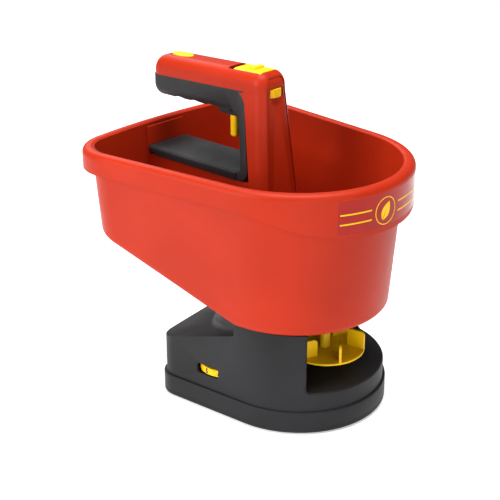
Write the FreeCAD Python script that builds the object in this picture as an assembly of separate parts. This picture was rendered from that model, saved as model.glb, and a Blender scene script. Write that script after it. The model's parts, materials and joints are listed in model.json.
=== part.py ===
import FreeCAD, Part
import math
import os

# Battery hand spreader: a D-shaped hopper with a carrying handle, on a base that holds a
# motor-driven spreading disc. Millimetres, +Z up, +X forward (round end), -Y the dial side.
# Origin: on the ground, under the middle of the hopper's rim.

V = FreeCAD.Vector
UP = V(0, 0, 1)
os.makedirs("parts", exist_ok=True)

# ---------------------------------------------------------------- driving dimensions
WALL = 2.5                      # general moulding wall
TINY = 0.3                      # gap between pieces that only look as if they touch

# plan outlines: rear x, front x, half width at the rear, front radius, corner radius, rear bow radius
RIM = (-141.75, 141.75, 119.8, 103.4, 43.2, 609.0)
BASE = (-58.6, 124.8, 89.6, 82.3, 21.5, 1284.0)

# hopper
RIM_TOP = 232.3
RIM_ROUND = 5.7                 # rounding of the rim's crest
SKIRT_REAR = 213.2              # lower edge of the rim's skirt, sides and rear
SKIRT_FRONT = 190.7             # lower edge of the skirt at the front
SKIRT_X = (52.4, 152.0)         # the skirt deepens between these
BODY_INSET = 10.3               # body wall inside the skirt line, at BODY_Z
BODY_Z = 205.0
DRAFT = math.tan(math.radians(4.33))
FLOOR_Z = 96.66                 # underside of the flat floor
FLOOR_X = 40.0                  # the floor slopes up behind this line
FLOOR_TAN = math.tan(math.radians(19.33))
LABEL_ANGLES = (-31.0, 45.0)
LABEL_Z = (196.5, 225.5)
LABEL_DEEP = 0.5

# base
PLATE_BOTTOM = 1.5
PLATE_TOP = 6.5
FLANGE_TOP = 22.3
FLANGE_STEP = 2.5
BAY_FLOOR = 40.0                # apron that the discharge opening looks out over
APRON_ROUND = 2.0
NECK_ROUND = 8.0                # where the round tower rises from the rear deck
BAY_R = 42.0
BAY_ANGLES = (-44.0, 82.0)      # discharge opening, about the base's front arc centre
DECK_X, DECK_Z = -52.0, 57.0    # a point on the near edge of the sloping rear deck
DECK_TAN = math.tan(math.radians(17.0))
DECK_HIP = 0.095                # rise towards the middle
DECK_Y = 84.0

# spreading disc
DISC_X = 74.8
DISC_Z = 57.9
DISC_R = 36.2
DISC_THICK = 2.0
VANES = 6
VANE_TOP = 74.5
VANE_REACH = (16.0, 33.0)       # along the vane, from the foot of the normal through the axis
VANE_ASIDE = 14.0               # the vanes miss the axis by this much
VANE_THICK = 2.2
HUB_R = 4.7
SHAFT_R = 3.0
PILOT_R = 1.3                   # pilot holes and shanks of the body screws
FIT = 0.05                      # radial clearance of running fits
VANE_PHASE = -51.6
AXLE_R = 2.0
SPINDLE_R = 2.5
FOOT_R = 7.0
FEET = [(-40.0, -66.0), (-40.0, 66.0), (88.0, -50.0), (88.0, 50.0)]
PLATE_SCREWS = [(-50.5, -48.0), (-50.5, 48.0), (30.0, -76.0), (30.0, 76.0), (112.0, 0.0)]

# outlet, shutter and their linkage
OUTLET = (50.5, 65.5, -12.0, 12.0)
TOWER_X = 42.5                  # axis of the round tower and of the base's front arc
TOWER_R = 76.0
CEILING = FLOOR_Z - WALL        # underside of the base's top plate
BUSH_R = 5.0
PASSAGE = (8.0, 26.0, -13.5, 9.0)       # way through the floor under the column
HOPPER_SCREWS = [(45.0, -55.0), (45.0, 55.0)]
COLUMN_SCREWS = [(18.0, -21.0), (18.0, 21.0)]
SHUTTER = (25.0, 68.5, 14.0)    # rear x, front x, half width
SHUTTER_Z = (91.9, 93.7)
GUIDE_Z = 89.9
ROD_X, ROD_R = 10.0, 1.5
ROD_Z = (67.3, 265.7)
ROD_SPRING_Z = (216.6, 235.8)   # the spring stands on the shelf, under the rod's collar
CRANK_X, CRANK_Z = 22.0, 66.0
CRANK_REST = 12.0               # reach of the crank's short arm
CRANK_TOP = 95.5
CRANK_SIDE = 10.0               # the long arm stands this far to the side of the rod

# gear train: module, teeth and axes along X
MODULE = 1.0
DISC_TEETH, SMALL_TEETH, LARGE_TEETH, PINION_TEETH = 46, 14, 40, 12
IDLER_X = DISC_X - MODULE * (DISC_TEETH + SMALL_TEETH) / 2
MOTOR_X = IDLER_X - MODULE * (LARGE_TEETH + PINION_TEETH) / 2
DISC_GEAR_Z = (20.0, 25.0)
LARGE_GEAR_Z = (12.5, 16.5)
MOTOR_R = 10.0
MOTOR_Z = (20.0, 52.0)
MOTOR_FLAT = 7.5                # the can is flattened at this half thickness

# rate dial
DIAL_X, DIAL_Y, DIAL_R = 6.5, -56.5, 26.0
DIAL_Z = (36.0, 42.4)
DIAL_WINDOW = 25.0              # length of the slot that the dial shows through
DIAL_STOPS, DIAL_STEP = 6, 30   # click notches, and the degrees between them

# handle: grip lines run from rear to front, the column from top to foot
GRIP_REAR, GRIP_FRONT, GRIP_HALF = -127.0, 14.0, 17.5
GRIP_TOP = (297.5, 302.0)
PARTING = (279.7, 284.6)
GRIP_LOW = (259.6, 261.4)
COLUMN = [(-10.5, 290.0), (3.5, 200.0), (6.0, 100.0), (31.0, 100.0), (14.0, 290.0)]
COLUMN_HALF = ((290.0, 16.8), (100.0, 33.5))    # height and half width
COLUMN_FOOT = 92.0
FINGERS = (-93.5, -73.5, -53.5)
SHELL = 2.4
GRIP_ROUND = 11.0
STRIP = [(-14.0, 262.0), (-11.0, 240.0), (-6.0, 214.0)]    # rear face of the column's black strip
PAD_TOP, PAD_LOW = 211.0, 203.0
PAD_SEAM = -12.0
PAD_HALF = 25.3
TRAY = (-125.5, 6.0, 23.5, 176.0)       # rear x, front x, half width, underside
TRAY_WALL = 2.0
LID_HINGE = (26.0, 200.6)               # y and z of the lid's hinge axis
LID_PIN_R = 1.1
KNUCKLE_R, KNUCKLE_LONG = 2.4, 10.0
BOX_KNUCKLES = (-114.0, -71.0, -33.0)   # rear ends of the hinge knuckles
LID_KNUCKLES = (-103.7, -60.7, -43.3)
CELL_R, CELL_LONG, CELL_Z = 7.1, 50.0, 188.6
CELL_Y = 8.4                            # the two rows of cells lie this far off the middle
PIVOT_X, PIVOT_Z = -31.8, 268.0         # trigger pivot
BLADE = (-34.0, -26.6, 9.5, 236.0)      # rear x, front x, half width, tip
TRIGGER_HUB = 7.5                       # half width of the trigger at its pin
WHEEL_X, WHEEL_R = 3.4, 12.0
WHEEL_Z = (279.6, 287.0)
WHEEL_NOTCHES = 26
DISH_R, DISH_OUT, DISH_SKIN = 20.0, 17.0, 1.8   # thumb dish round the wheel: radius, centre ahead, skin
PANEL_SUNK, PANEL_GAP = 0.7, 0.4        # front panel: below the shell's face, and clear of it
SWITCH = (-27.0, 4.5, 11.0)             # slide switch: rear x, front x, half width
SWITCH_TRAVEL = 6.0
CAP_X, CAP_LONG, CAP_WIDE = -101.0, 25.0, 13.0


def box(x0, x1, y0, y1, z0, z1):
    return Part.makeBox(x1 - x0, y1 - y0, z1 - z0, V(x0, y0, z0))


def zcyl(x, y, z0, z1, r):
    return Part.makeCylinder(r, z1 - z0, V(x, y, z0), UP)


def ycyl(x, y0, y1, z, r):
    return Part.makeCylinder(r, y1 - y0, V(x, y0, z), V(0, 1, 0))


def xcyl(x0, x1, y, z, r):
    return Part.makeCylinder(r, x1 - x0, V(x0, y, z), V(1, 0, 0))


def arc(cx, cy, r, a0, a1, z):
    """Arc about (cx, cy) from angle a0 to a1 in radians."""
    circle = Part.Circle(V(cx, cy, z), UP, r)
    return Part.Arc(circle, a0, a1).toShape()


def line(p, q):
    return Part.LineSegment(p, q).toShape()


def egg(outline, inset, z):
    """Closed plan outline: bowed rear, two corners, tapering sides and a round front."""
    rear, front, half, front_r, corner_r, bow_r = outline
    rear, front, half = rear + inset, front - inset, half - inset
    front_r, corner_r, bow_r = front_r - inset, corner_r - inset, bow_r - inset
    bow_x = rear + bow_r
    cy = half - corner_r
    cx = bow_x - math.sqrt((bow_r - corner_r) ** 2 - cy ** 2)
    fx = front - front_r
    start = math.atan2(cy, cx - bow_x)
    lean = math.atan2(-cy, fx - cx) + math.asin((front_r - corner_r) / math.hypot(fx - cx, cy))
    end = lean + math.pi / 2
    tangent = V(math.cos(end), math.sin(end), 0)
    side = [V(cx, cy, z) + tangent * corner_r, V(fx, 0, z) + tangent * front_r]
    mirrored = [V(p.x, -p.y, z) for p in side]
    edges = [
        arc(fx, 0, front_r, -end, end, z),
        line(side[1], side[0]),
        arc(cx, cy, corner_r, end, start, z),
        arc(bow_x, 0, bow_r, start, 2 * math.pi - start, z),
        arc(cx, -cy, corner_r, 2 * math.pi - start, 2 * math.pi - end, z),
        line(mirrored[0], mirrored[1]),
    ]
    return Part.Wire(edges)


def prism(wire, height):
    return Part.Face(wire).extrude(V(0, 0, height))


def egg_prism(outline, inset, z0, z1):
    return prism(egg(outline, inset, z0), z1 - z0)


def xz_prism(points, y0, y1):
    """Straight-sided profile in XZ, extruded along Y."""
    wire = Part.makePolygon([V(x, y0, z) for x, z in points + points[:1]])
    return Part.Face(wire).extrude(V(0, y1 - y0, 0))


def rounded(corners, y):
    """Closed wire in the XZ plane at y through corners (x, z, radius), each one rounded."""
    places = [V(x, y, z) for x, z, r in corners]
    edges, ends = [], []
    for k, here in enumerate(places):
        radius = corners[k][2]
        back = (places[k - 1] - here).normalize()
        ahead = (places[(k + 1) % len(places)] - here).normalize()
        if radius == 0:
            ends.append((here, here))
            continue
        half = back.getAngle(ahead) / 2
        reach, gap = radius / math.tan(half), radius / math.sin(half) - radius
        ends.append((here + back * reach, here + ahead * reach))
        middle = here + (back + ahead).normalize() * gap
        edges.append(Part.Arc(ends[-1][0], middle, ends[-1][1]).toShape())
    edges += [line(ends[k - 1][1], ends[k][0]) for k in range(len(ends))]
    return Part.Wire(Part.__sortEdges__(edges))


def rounded_prism(corners, y0, y1):
    return Part.Face(rounded(corners, y0)).extrude(V(0, y1 - y0, 0))


def edges_at_z(shape, z):
    return [e for e in shape.Edges if e.BoundBox.ZMin > z - 1e-3 and e.BoundBox.ZMax < z + 1e-3]


def save(node, *solids):
    shape = solids[0] if len(solids) == 1 else Part.makeCompound(list(solids))
    shape.exportStep("parts/" + node + ".step")
    print(node, len(shape.Solids), round(shape.Volume / 1000, 2), shape.isValid())


# ---------------------------------------------------------------- hopper
def body_inset(z):
    return BODY_INSET + (BODY_Z - z) * DRAFT


def floor_wedge(drop):
    """Everything below the hopper's floor, raised by drop."""
    low, far = FLOOR_Z - 60, 200.0
    z = FLOOR_Z + drop
    points = [(-far, z + (FLOOR_X + far) * FLOOR_TAN), (FLOOR_X, z), (far, z), (far, low), (-far, low)]
    return xz_prism(points, -far, far)


def hopper_body(extra, lift, top):
    low = FLOOR_Z - 2
    wires = [egg(RIM, body_inset(z) + extra, z) for z in (low, top)]
    return Part.makeLoft(wires, True, True).cut(floor_wedge(lift))


def skirt_cutter():
    """Region below the skirt's lower edge, which dips at the front."""
    x0, x1 = SKIRT_X
    third = (x1 - x0) / 3
    curve = Part.BezierCurve()
    curve.setPoles([V(x0, -150, SKIRT_REAR), V(x0 + third, -150, SKIRT_REAR),
                    V(x1 - third, -150, SKIRT_FRONT), V(x1, -150, SKIRT_FRONT)])
    low = SKIRT_FRONT - 40
    path = [V(x1, -150, SKIRT_FRONT), V(x1, -150, low), V(-160, -150, low), V(-160, -150, SKIRT_REAR),
            V(x0, -150, SKIRT_REAR)]
    edges = [curve.toShape()] + [line(p, q) for p, q in zip(path, path[1:])]
    return Part.Face(Part.Wire(edges)).extrude(V(0, 300, 0))


def make_hopper():
    low = SKIRT_FRONT - 5
    outer = egg_prism(RIM, 0, low, RIM_TOP)
    outer = outer.makeFillet(RIM_ROUND, edges_at_z(outer, RIM_TOP))
    under = egg_prism(RIM, WALL, low - 1, RIM_TOP - WALL)
    under = under.makeFillet(RIM_ROUND - WALL, edges_at_z(under, RIM_TOP - WALL))
    cavity = hopper_body(WALL, WALL, RIM_TOP + 5)
    rim = outer.cut(cavity)
    rim = rim.makeFillet(3.5, edges_at_z(rim, RIM_TOP))
    rim = rim.cut(under).cut(skirt_cutter())
    body = hopper_body(0, 0, RIM_TOP - WALL / 2)
    body = body.makeFillet(6.0, [e for e in body.Edges if e.BoundBox.ZMax < 160 and not is_crease(e)])
    shell = body.cut(cavity).fuse(rim)
    x0, x1, y0, y1 = OUTLET
    holes = [
        box(x0, x1, y0, y1, FLOOR_Z - 5, FLOOR_Z + 10),
        zcyl(DISC_X, 0, FLOOR_Z - 5, FLOOR_Z + 10, BUSH_R),
        box(*PASSAGE, FLOOR_Z - 5, FLOOR_Z + 30),
    ]
    for x, y in HOPPER_SCREWS + COLUMN_SCREWS:
        holes.append(zcyl(x, y, FLOOR_Z - 1, FLOOR_Z + 20, PILOT_R))
    return shell.cut(label_band(0, LABEL_DEEP)).cut(Part.makeCompound(holes))


def is_crease(edge):
    """The line across the floor where its flat and sloping parts meet."""
    return edge.BoundBox.XLength < 1e-3 and edge.BoundBox.ZLength < 1e-3


def sector(cx, radius, angles, z0, z1):
    """Pie slice about (cx, 0) between two angles in degrees."""
    a0, a1 = (math.radians(a) for a in angles)
    centre = V(cx, 0, z0)
    ends = [centre + V(math.cos(a), math.sin(a), 0) * radius for a in (a0, a1)]
    edges = [line(centre, ends[0]), arc(cx, 0, radius, a0, a1, z0), line(ends[1], centre)]
    return prism(Part.Wire(edges), z1 - z0)


def label_band(inset0, inset1):
    """Thin band in the front of the skirt, between two depths."""
    z0, z1 = LABEL_Z
    ring = egg_prism(RIM, inset0, z0, z1).cut(egg_prism(RIM, inset1, z0, z1))
    return ring.common(sector(RIM[1] - RIM[3], 150, LABEL_ANGLES, z0, z1))


# ---------------------------------------------------------------- base
def above_deck(drop):
    """Everything above the sloping rear deck, lowered by drop: two mirrored hips."""
    tools = []
    for side in (-1, 1):
        corners = []
        for x in (-80.0, 140.0):
            for y in (0.0, 120.0):
                z = DECK_Z - drop + (x - DECK_X) * DECK_TAN + (DECK_Y - y) * DECK_HIP
                corners.append(V(x, side * y, z))
        a, b, c, d = corners
        face = Part.Face(Part.makePolygon([a, b, d, c, a]))
        tools.append(face.extrude(V(0, 0, 120)))
    return tools[0].fuse(tools[1])


def above_hopper_floor(drop):
    far, z = 200.0, FLOOR_Z - drop
    points = [(-far, z + (FLOOR_X + far) * FLOOR_TAN), (FLOOR_X, z), (far, z), (far, 300), (-far, 300)]
    return xz_prism(points, -far, far)


def base_mass(inset, drop, z0):
    """Solid shape of the base above its flange: rear deck and round tower."""
    top = 160.0
    plan = egg_prism(BASE, FLANGE_STEP + inset, z0, top)
    deck = plan.cut(above_deck(drop)).cut(above_hopper_floor(drop))
    front = plan.common(box(TOWER_X - 6, 200, -120, 120, z0, top))
    tower = zcyl(TOWER_X, 0, z0, top, TOWER_R - inset)
    return deck, front.fuse(tower).common(plan).cut(above_hopper_floor(drop))


def bay(grow):
    """Space of the discharge bay round the disc, and its opening through the wall."""
    plan = egg_prism(BASE, FLANGE_STEP + WALL + 0.5 - grow, BAY_FLOOR - grow, FLOOR_Z - WALL + 0.01)
    low, high = BAY_ANGLES
    margin = math.degrees(grow / BAY_R)
    wide = sector(TOWER_X, 150, (low - margin, high + margin), BAY_FLOOR - grow, FLOOR_Z - WALL + 0.01)
    round_part = zcyl(DISC_X, 0, BAY_FLOOR - grow, FLOOR_Z - WALL + 0.01, BAY_R + grow)
    return wide.fuse(round_part).common(plan)


def bay_opening():
    """The window cut through the outer wall above the sill."""
    window = sector(TOWER_X, 150, BAY_ANGLES, BAY_FLOOR, FLOOR_Z - WALL + 0.01)
    straight = [e for e in edges_at_z(window, BAY_FLOOR) if e.Curve.TypeId == "Part::GeomLine"]
    corners = [e for e in straight if e.Length > 140]
    return window.makeFillet(4.0, corners)


def make_base_housing():
    deck, tower = base_mass(0, 0, PLATE_TOP)
    outer = deck.fuse(tower).removeSplitter()
    outer = outer.makeFillet(NECK_ROUND, [e for e in outer.Edges if at_neck(e)])
    flange = egg_prism(BASE, 0, PLATE_TOP, FLANGE_TOP)
    flange = flange.makeFillet(1.6, edges_at_z(flange, FLANGE_TOP))
    deck_in, tower_in = base_mass(WALL, WALL * 1.1, PLATE_TOP - 1)
    hollow = deck_in.fuse(tower_in).cut(bay(WALL))
    shell = outer.fuse(flange).removeSplitter().cut(bay(0)).cut(bay_opening())
    shell = shell.makeFillet(APRON_ROUND, [e for e in edges_at_z(shell, BAY_FLOOR) if on_front_arc(e)])
    shell = shell.cut(hollow)
    collar = zcyl(DISC_X, 0, BAY_FLOOR - 5, DISC_Z - 9, 8.5)
    axle_boss = zcyl(IDLER_X, 0, DISC_GEAR_Z[1] + 2, BAY_FLOOR - 1, 4.5)
    screw_posts = [zcyl(x, y, PLATE_TOP, BAY_FLOOR - 2, 4.0) for x, y in PLATE_SCREWS]
    x0, x1, y0, y1 = OUTLET
    holes = [
        box(x0, x1, y0, y1, CEILING - 5, FLOOR_Z + 5),
        box(*PASSAGE, CEILING - 5, FLOOR_Z + 30),
        zcyl(DISC_X, 0, CEILING - 5, FLOOR_Z + 5, BUSH_R),
        zcyl(DISC_X, 0, BAY_FLOOR - 6, DISC_Z, BUSH_R),
        zcyl(IDLER_X, 0, DISC_GEAR_Z[1] + 1, BAY_FLOOR - 2, AXLE_R),
        box(TOWER_X - 14, TOWER_X, -SHUTTER[2] - 2.2, SHUTTER[2] + 2.2, GUIDE_Z, CEILING),
        dial_window(),
        top_relief(),
    ]
    holes += [zcyl(x, y, PLATE_TOP - 1, PLATE_TOP + 18, PILOT_R) for x, y in PLATE_SCREWS]
    holes += [zcyl(x, y, CEILING - 9, FLOOR_Z + 30, PILOT_R) for x, y in HOPPER_SCREWS]
    holes += [zcyl(x, y, CEILING - 9, FLOOR_Z + 30, 1.9) for x, y in COLUMN_SCREWS]
    bosses = [zcyl(x, y, CEILING - 8, CEILING + 1, 4.0) for x, y in HOPPER_SCREWS]
    shell = shell.multiFuse([collar, axle_boss] + screw_posts + bosses)
    return shell.cut(Part.makeCompound(holes))


def on_front_arc(edge):
    """An edge along the outer wall's round front."""
    middle = edge.valueAt(sum(edge.ParameterRange) / 2)
    radius = math.hypot(middle.x - TOWER_X, middle.y)
    return abs(radius - BASE[3] + FLANGE_STEP) < 0.05 and edge.Length > 30


def at_neck(edge):
    """An edge where the round tower's face meets the sloping deck."""
    middle = edge.valueAt(sum(edge.ParameterRange) / 2)
    ends = [edge.valueAt(t) for t in edge.ParameterRange]
    radii = [math.hypot(p.x - TOWER_X, p.y) for p in [middle] + ends]
    on_tower = all(abs(radius - TOWER_R) < 0.05 for radius in radii)
    return on_tower and middle.x < TOWER_X - 10 and edge.BoundBox.ZMax < FLOOR_Z + 5 and edge.Length > 10


def dial_window():
    """Rounded slot in the near wall for the dial."""
    half, z0, z1 = DIAL_WINDOW / 2, DIAL_Z[0] - 1.0, DIAL_Z[1] + 2.6
    slot = box(DIAL_X - half, DIAL_X + half, -100, DIAL_Y - 18, z0, z1)
    ends = [e for e in slot.Edges if e.BoundBox.YLength > 20]
    return slot.makeFillet(3.0, ends)


def top_relief():
    """Trims the top plate back under the hopper where the discharge opening is."""
    ring = egg_prism(BASE, 0, CEILING - 0.01, FLOOR_Z + 1)
    ring = ring.cut(egg_prism(BASE, FLANGE_STEP + 9, CEILING - 0.01, FLOOR_Z + 1))
    return ring.common(sector(TOWER_X, 150, BAY_ANGLES, CEILING - 0.01, FLOOR_Z + 1))


def make_base_plate():
    plate = egg_prism(BASE, 0, PLATE_BOTTOM, PLATE_TOP)
    plate = plate.makeFillet(2.0, edges_at_z(plate, PLATE_BOTTOM))
    plate = plate.cut(egg_prism(BASE, 5, PLATE_BOTTOM + WALL, PLATE_TOP))
    floor_z = PLATE_BOTTOM + WALL
    bosses = [
        zcyl(DISC_X, 0, floor_z - 1, PLATE_TOP + 6, BUSH_R + 2.5),
        zcyl(IDLER_X, 0, floor_z - 1, LARGE_GEAR_Z[0] - 1, 4.5),
        zcyl(DIAL_X, DIAL_Y, floor_z - 1, DIAL_Z[0] - 0.5, 5.0),
        box(MOTOR_X - 18, MOTOR_X - 9, -10, 10, floor_z - 1, PLATE_TOP + 2),
    ]
    bosses += [zcyl(x, y, floor_z - 1, PLATE_TOP, 4.0) for x, y in PLATE_SCREWS]
    plate = plate.multiFuse(bosses)
    holes = [
        zcyl(DISC_X, 0, floor_z + 1, PLATE_TOP + 7, BUSH_R),
        zcyl(IDLER_X, 0, floor_z, LARGE_GEAR_Z[0], AXLE_R),
        zcyl(DIAL_X, DIAL_Y, floor_z, DIAL_Z[0], SPINDLE_R),
    ]
    for x, y in PLATE_SCREWS:
        holes += [zcyl(x, y, 0, PLATE_TOP + 1, 1.7), zcyl(x, y, 0, PLATE_BOTTOM + 1.8, 3.2)]
    holes += [zcyl(x, y, PLATE_BOTTOM - 1, PLATE_BOTTOM + 1, FOOT_R) for x, y in FEET]
    return plate.cut(Part.makeCompound(holes))


def make_feet():
    feet = []
    for x, y in FEET:
        foot = zcyl(x, y, 0, PLATE_BOTTOM + 1, FOOT_R)
        feet.append(foot.makeFillet(0.6, edges_at_z(foot, 0)))
    return feet


def screw(x, y, head_z, tip_z, head_r, shank_r):
    """Vertical pan-head screw with a cross recess; the head lies away from the tip."""
    away = 1 if head_z > tip_z else -1
    head_h = head_r * 0.7
    low, high = sorted((head_z, head_z + away * head_h))
    head = zcyl(x, y, low, high, head_r)
    head = head.makeFillet(head_h * 0.4, edges_at_z(head, head_z + away * head_h))
    low, high = sorted((tip_z, head_z))
    body = head.fuse(zcyl(x, y, low, high, shank_r))
    face = head_z + away * head_h
    low, high = sorted((face - away * head_h * 0.5, face + away))
    arm, thin = head_r * 0.6, head_r * 0.14
    cross = box(x - arm, x + arm, y - thin, y + thin, low, high)
    return body.cut(cross.fuse(box(x - thin, x + thin, y - arm, y + arm, low, high)))


# ---------------------------------------------------------------- drive
def gear(x, z0, z1, teeth, bore, turned=0.0):
    """Spur gear on a vertical axis; turned is a fraction of one tooth pitch."""
    pitch_r = MODULE * teeth / 2
    profile = [(pitch_r - 1.15 * MODULE, 1.02), (pitch_r, 0.66), (pitch_r + 0.9 * MODULE, 0.33)]
    points = []
    for k in range(teeth):
        middle = 2 * math.pi * (k + turned) / teeth
        flank = [(r, half * MODULE / r) for r, half in profile]
        for r, a in flank:
            points.append(V(x + r * math.cos(middle - a), r * math.sin(middle - a), z0))
        for r, a in reversed(flank):
            points.append(V(x + r * math.cos(middle + a), r * math.sin(middle + a), z0))
    rim = prism(Part.makePolygon(points + points[:1]), z1 - z0)
    return rim.cut(zcyl(x, 0, z0 - 1, z1 + 1, bore)) if bore else rim


def make_drive_gear():
    z0, z1 = DISC_GEAR_Z
    body = gear(DISC_X, z0, z1, DISC_TEETH, 0).cut(ring(DISC_X, z1 - 1.5, z1 + 1, 9.0, 18.5))
    body = body.fuse(zcyl(DISC_X, 0, z0 - 3, z1 + 2, 7.0))
    return body.cut(zcyl(DISC_X, 0, z0 - 4, z1 + 3, SHAFT_R))


def ring(x, z0, z1, r0, r1):
    return zcyl(x, 0, z0, z1, r1).cut(zcyl(x, 0, z0 - 1, z1 + 1, r0))


def make_idler_gear():
    z0, z1 = LARGE_GEAR_Z
    large = gear(IDLER_X, z0, z1, LARGE_TEETH, 0)
    small = gear(IDLER_X, z1 - 0.5, DISC_GEAR_Z[1] + 0.5, SMALL_TEETH, 0, 0.5)
    web = ring(IDLER_X, z1 - 1.2, z1 + 1, 9.5, 16.5)
    return large.cut(web).fuse(small).cut(zcyl(IDLER_X, 0, z0 - 1, DISC_GEAR_Z[1] + 1, AXLE_R + FIT))


def make_motor():
    z0, z1 = MOTOR_Z
    can = zcyl(MOTOR_X, 0, z0, z1, MOTOR_R)
    can = can.makeFillet(1.5, edges_at_z(can, z1))
    can = can.common(box(MOTOR_X - 20, MOTOR_X + 20, -MOTOR_FLAT, MOTOR_FLAT, z0 - 1, z1 + 1))
    nose = zcyl(MOTOR_X, 0, z0 - 2, z0, 4.5).fuse(zcyl(MOTOR_X, 0, z1, z1 + 2.5, 4.0))
    tabs = [box(MOTOR_X - 1.5, MOTOR_X + 1.5, y - 0.4, y + 0.4, z1 - 1, z1 + 4) for y in (-5, 5)]
    return can.fuse(nose).multiFuse(tabs).cut(zcyl(MOTOR_X, 0, z0 - 3, z0 + 12, 1.0 + FIT))


def make_motor_mount():
    z0, z1 = MOTOR_Z
    low, high = z0 + 6, z0 + 24
    sleeve = ring(MOTOR_X, low, high, MOTOR_R, MOTOR_R + 1.3)
    foot = box(MOTOR_X - 18, MOTOR_X - 8, -10, 10, PLATE_TOP + 2, high)
    foot = foot.cut(zcyl(MOTOR_X, 0, PLATE_TOP, high + 1, MOTOR_R))
    return sleeve.fuse(foot).cut(box(MOTOR_X + 6, MOTOR_X + 20, -1.5, 1.5, low - 1, high + 1))


def make_pinion():
    return gear(MOTOR_X, LARGE_GEAR_Z[0] - 1.5, LARGE_GEAR_Z[1] + 0.5, PINION_TEETH, 1.0, 0.5)


def bush(z0, z1, flange_z):
    """Bronze bush on the disc axis, with a flange at flange_z."""
    body = zcyl(DISC_X, 0, z0, z1, BUSH_R)
    body = body.fuse(zcyl(DISC_X, 0, flange_z, flange_z + 1.2, BUSH_R + 1.8))
    return body.cut(zcyl(DISC_X, 0, z0 - 1, z1 + 3, SHAFT_R + FIT))


def make_disc():
    low = DISC_Z - DISC_THICK
    plate = zcyl(DISC_X, 0, low, DISC_Z, DISC_R)
    plate = plate.makeFillet(0.7, edges_at_z(plate, low) + edges_at_z(plate, DISC_Z))
    hub = zcyl(DISC_X, 0, DISC_Z - 7, DISC_Z + 24, HUB_R)
    vanes = []
    for k in range(VANES):
        x0, x1 = (DISC_X + reach for reach in VANE_REACH)
        y0, y1 = VANE_ASIDE - VANE_THICK / 2, VANE_ASIDE + VANE_THICK / 2
        vane = box(x0, x1, y0, y1, DISC_Z - 1, VANE_TOP)
        corners = [e for e in edges_at_z(vane, VANE_TOP) if e.BoundBox.XLength < 1e-3]
        vane = vane.makeFillet(4.0, corners)
        vane.rotate(V(DISC_X, 0, 0), UP, VANE_PHASE + k * 360 / VANES)
        vanes.append(vane)
    return plate.multiFuse([hub] + vanes).cut(zcyl(DISC_X, 0, DISC_Z - 8, DISC_Z + 25, SHAFT_R))


def make_agitator():
    z = FLOOR_Z + WALL + 1.8
    hub = zcyl(DISC_X, 0, z, z + 9, 6.0).cut(zcyl(DISC_X, 0, z - 1, z + 7, SHAFT_R))
    arms = []
    for k, (reach, height) in enumerate([(24, 3.0), (19, 6.0)]):
        arm = xcyl(DISC_X + 4.5, DISC_X + reach, 0, z + height, 1.5)
        arm = arm.fuse(Part.makeSphere(1.5, V(DISC_X + reach, 0, z + height)))
        arm.rotate(V(DISC_X, 0, 0), UP, 180 * k + 40)
        arms.append(arm)
    return hub.multiFuse(arms)


# ---------------------------------------------------------------- shutter linkage
def make_shutter_guide():
    x0, x1 = TOWER_X - 13.5, SHUTTER[1] + 1.2
    half = SHUTTER[2] + 2.0
    tray = box(x0, x1, -half, half, GUIDE_Z, CEILING)
    side = SHUTTER[2] + 0.2
    tray = tray.cut(box(x0 - 1, SHUTTER[1] + 0.3, -side, side, SHUTTER_Z[0] - 0.1, CEILING + 1))
    ox0, ox1, oy0, oy1 = OUTLET
    return tray.cut(box(ox0, ox1, oy0, oy1, GUIDE_Z - 1, CEILING))


def make_shutter():
    x0, x1, half = SHUTTER
    z0, z1 = SHUTTER_Z
    plate = box(x0, x1, -half, half, z0, z1)
    tail = box(CRANK_X - 6.4, x0 + 1, CRANK_SIDE - 5, half, z0, z1)
    slot = box(CRANK_X - 3.4, CRANK_X + 3.4, CRANK_SIDE - 2.6, CRANK_SIDE + 2.2, z0 - 1, z1 + 1)
    relief = box(x0 - 1, x0 + 7, -half - 1, 2.5, z0 - 1, z1 + 1)
    return plate.cut(relief).fuse(tail).cut(slot)


def make_bell_crank():
    side = CRANK_SIDE
    hub = ycyl(CRANK_X, -5, side + 3, CRANK_Z, 4.0)
    short = box(CRANK_X - CRANK_REST - 3, CRANK_X, -2.5, 2.5, CRANK_Z - 2, CRANK_Z + 1.0)
    tall = box(CRANK_X - 1.6, CRANK_X + 1.6, side - 2, side + 1.6, CRANK_Z, CRANK_TOP)
    tip = ycyl(CRANK_X, side - 2, side + 1.6, CRANK_TOP, 1.6)
    return hub.multiFuse([short, tall, tip]).cut(ycyl(CRANK_X, -6, side + 4, CRANK_Z, 1.5 + FIT))


def make_crank_bracket():
    """Cradle for the crank's pin, fixed to the wall of the discharge bay."""
    y0, y1 = -8.2, CRANK_SIDE + 6.2
    ears = [box(CRANK_X - 4, CRANK_X + 4, y, y + 2.4, CRANK_Z - 6, CRANK_Z + 5) for y in (y0, y1 - 2.4)]
    base = box(CRANK_X - 4, CRANK_X + 9, y0, y1, CRANK_Z - 8, CRANK_Z - 5.5)
    flange = box(CRANK_X + 6.5, CRANK_X + 9, y0, y1, CRANK_Z - 12.5, CRANK_Z - 5.5)
    body = base.multiFuse(ears + [flange]).cut(ycyl(CRANK_X, y0 - 1, y1 + 1, CRANK_Z, 1.5))
    return body.cut(zcyl(DISC_X, 0, 40, 80, BAY_R + WALL))


def coil(x, y, z0, z1, radius, wire_r, turns):
    """Helical compression spring on a vertical axis."""
    height = z1 - z0 - 2 * wire_r
    helix = Part.makeHelix(height / turns, height, radius)
    start = V(radius, 0, 0)
    section = Part.Wire(Part.Circle(start, V(0, 1, 0), wire_r).toShape())
    spring = Part.Wire(helix.Edges).makePipeShell([section], True, True)
    spring.translate(V(x, y, z0 + wire_r))
    return spring


# ---------------------------------------------------------------- handle
def along(x, pair):
    """Height at x on a line that runs the length of the grip."""
    low, high = pair
    return low + (high - low) * (x - GRIP_REAR) / (GRIP_FRONT - GRIP_REAR)


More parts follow.
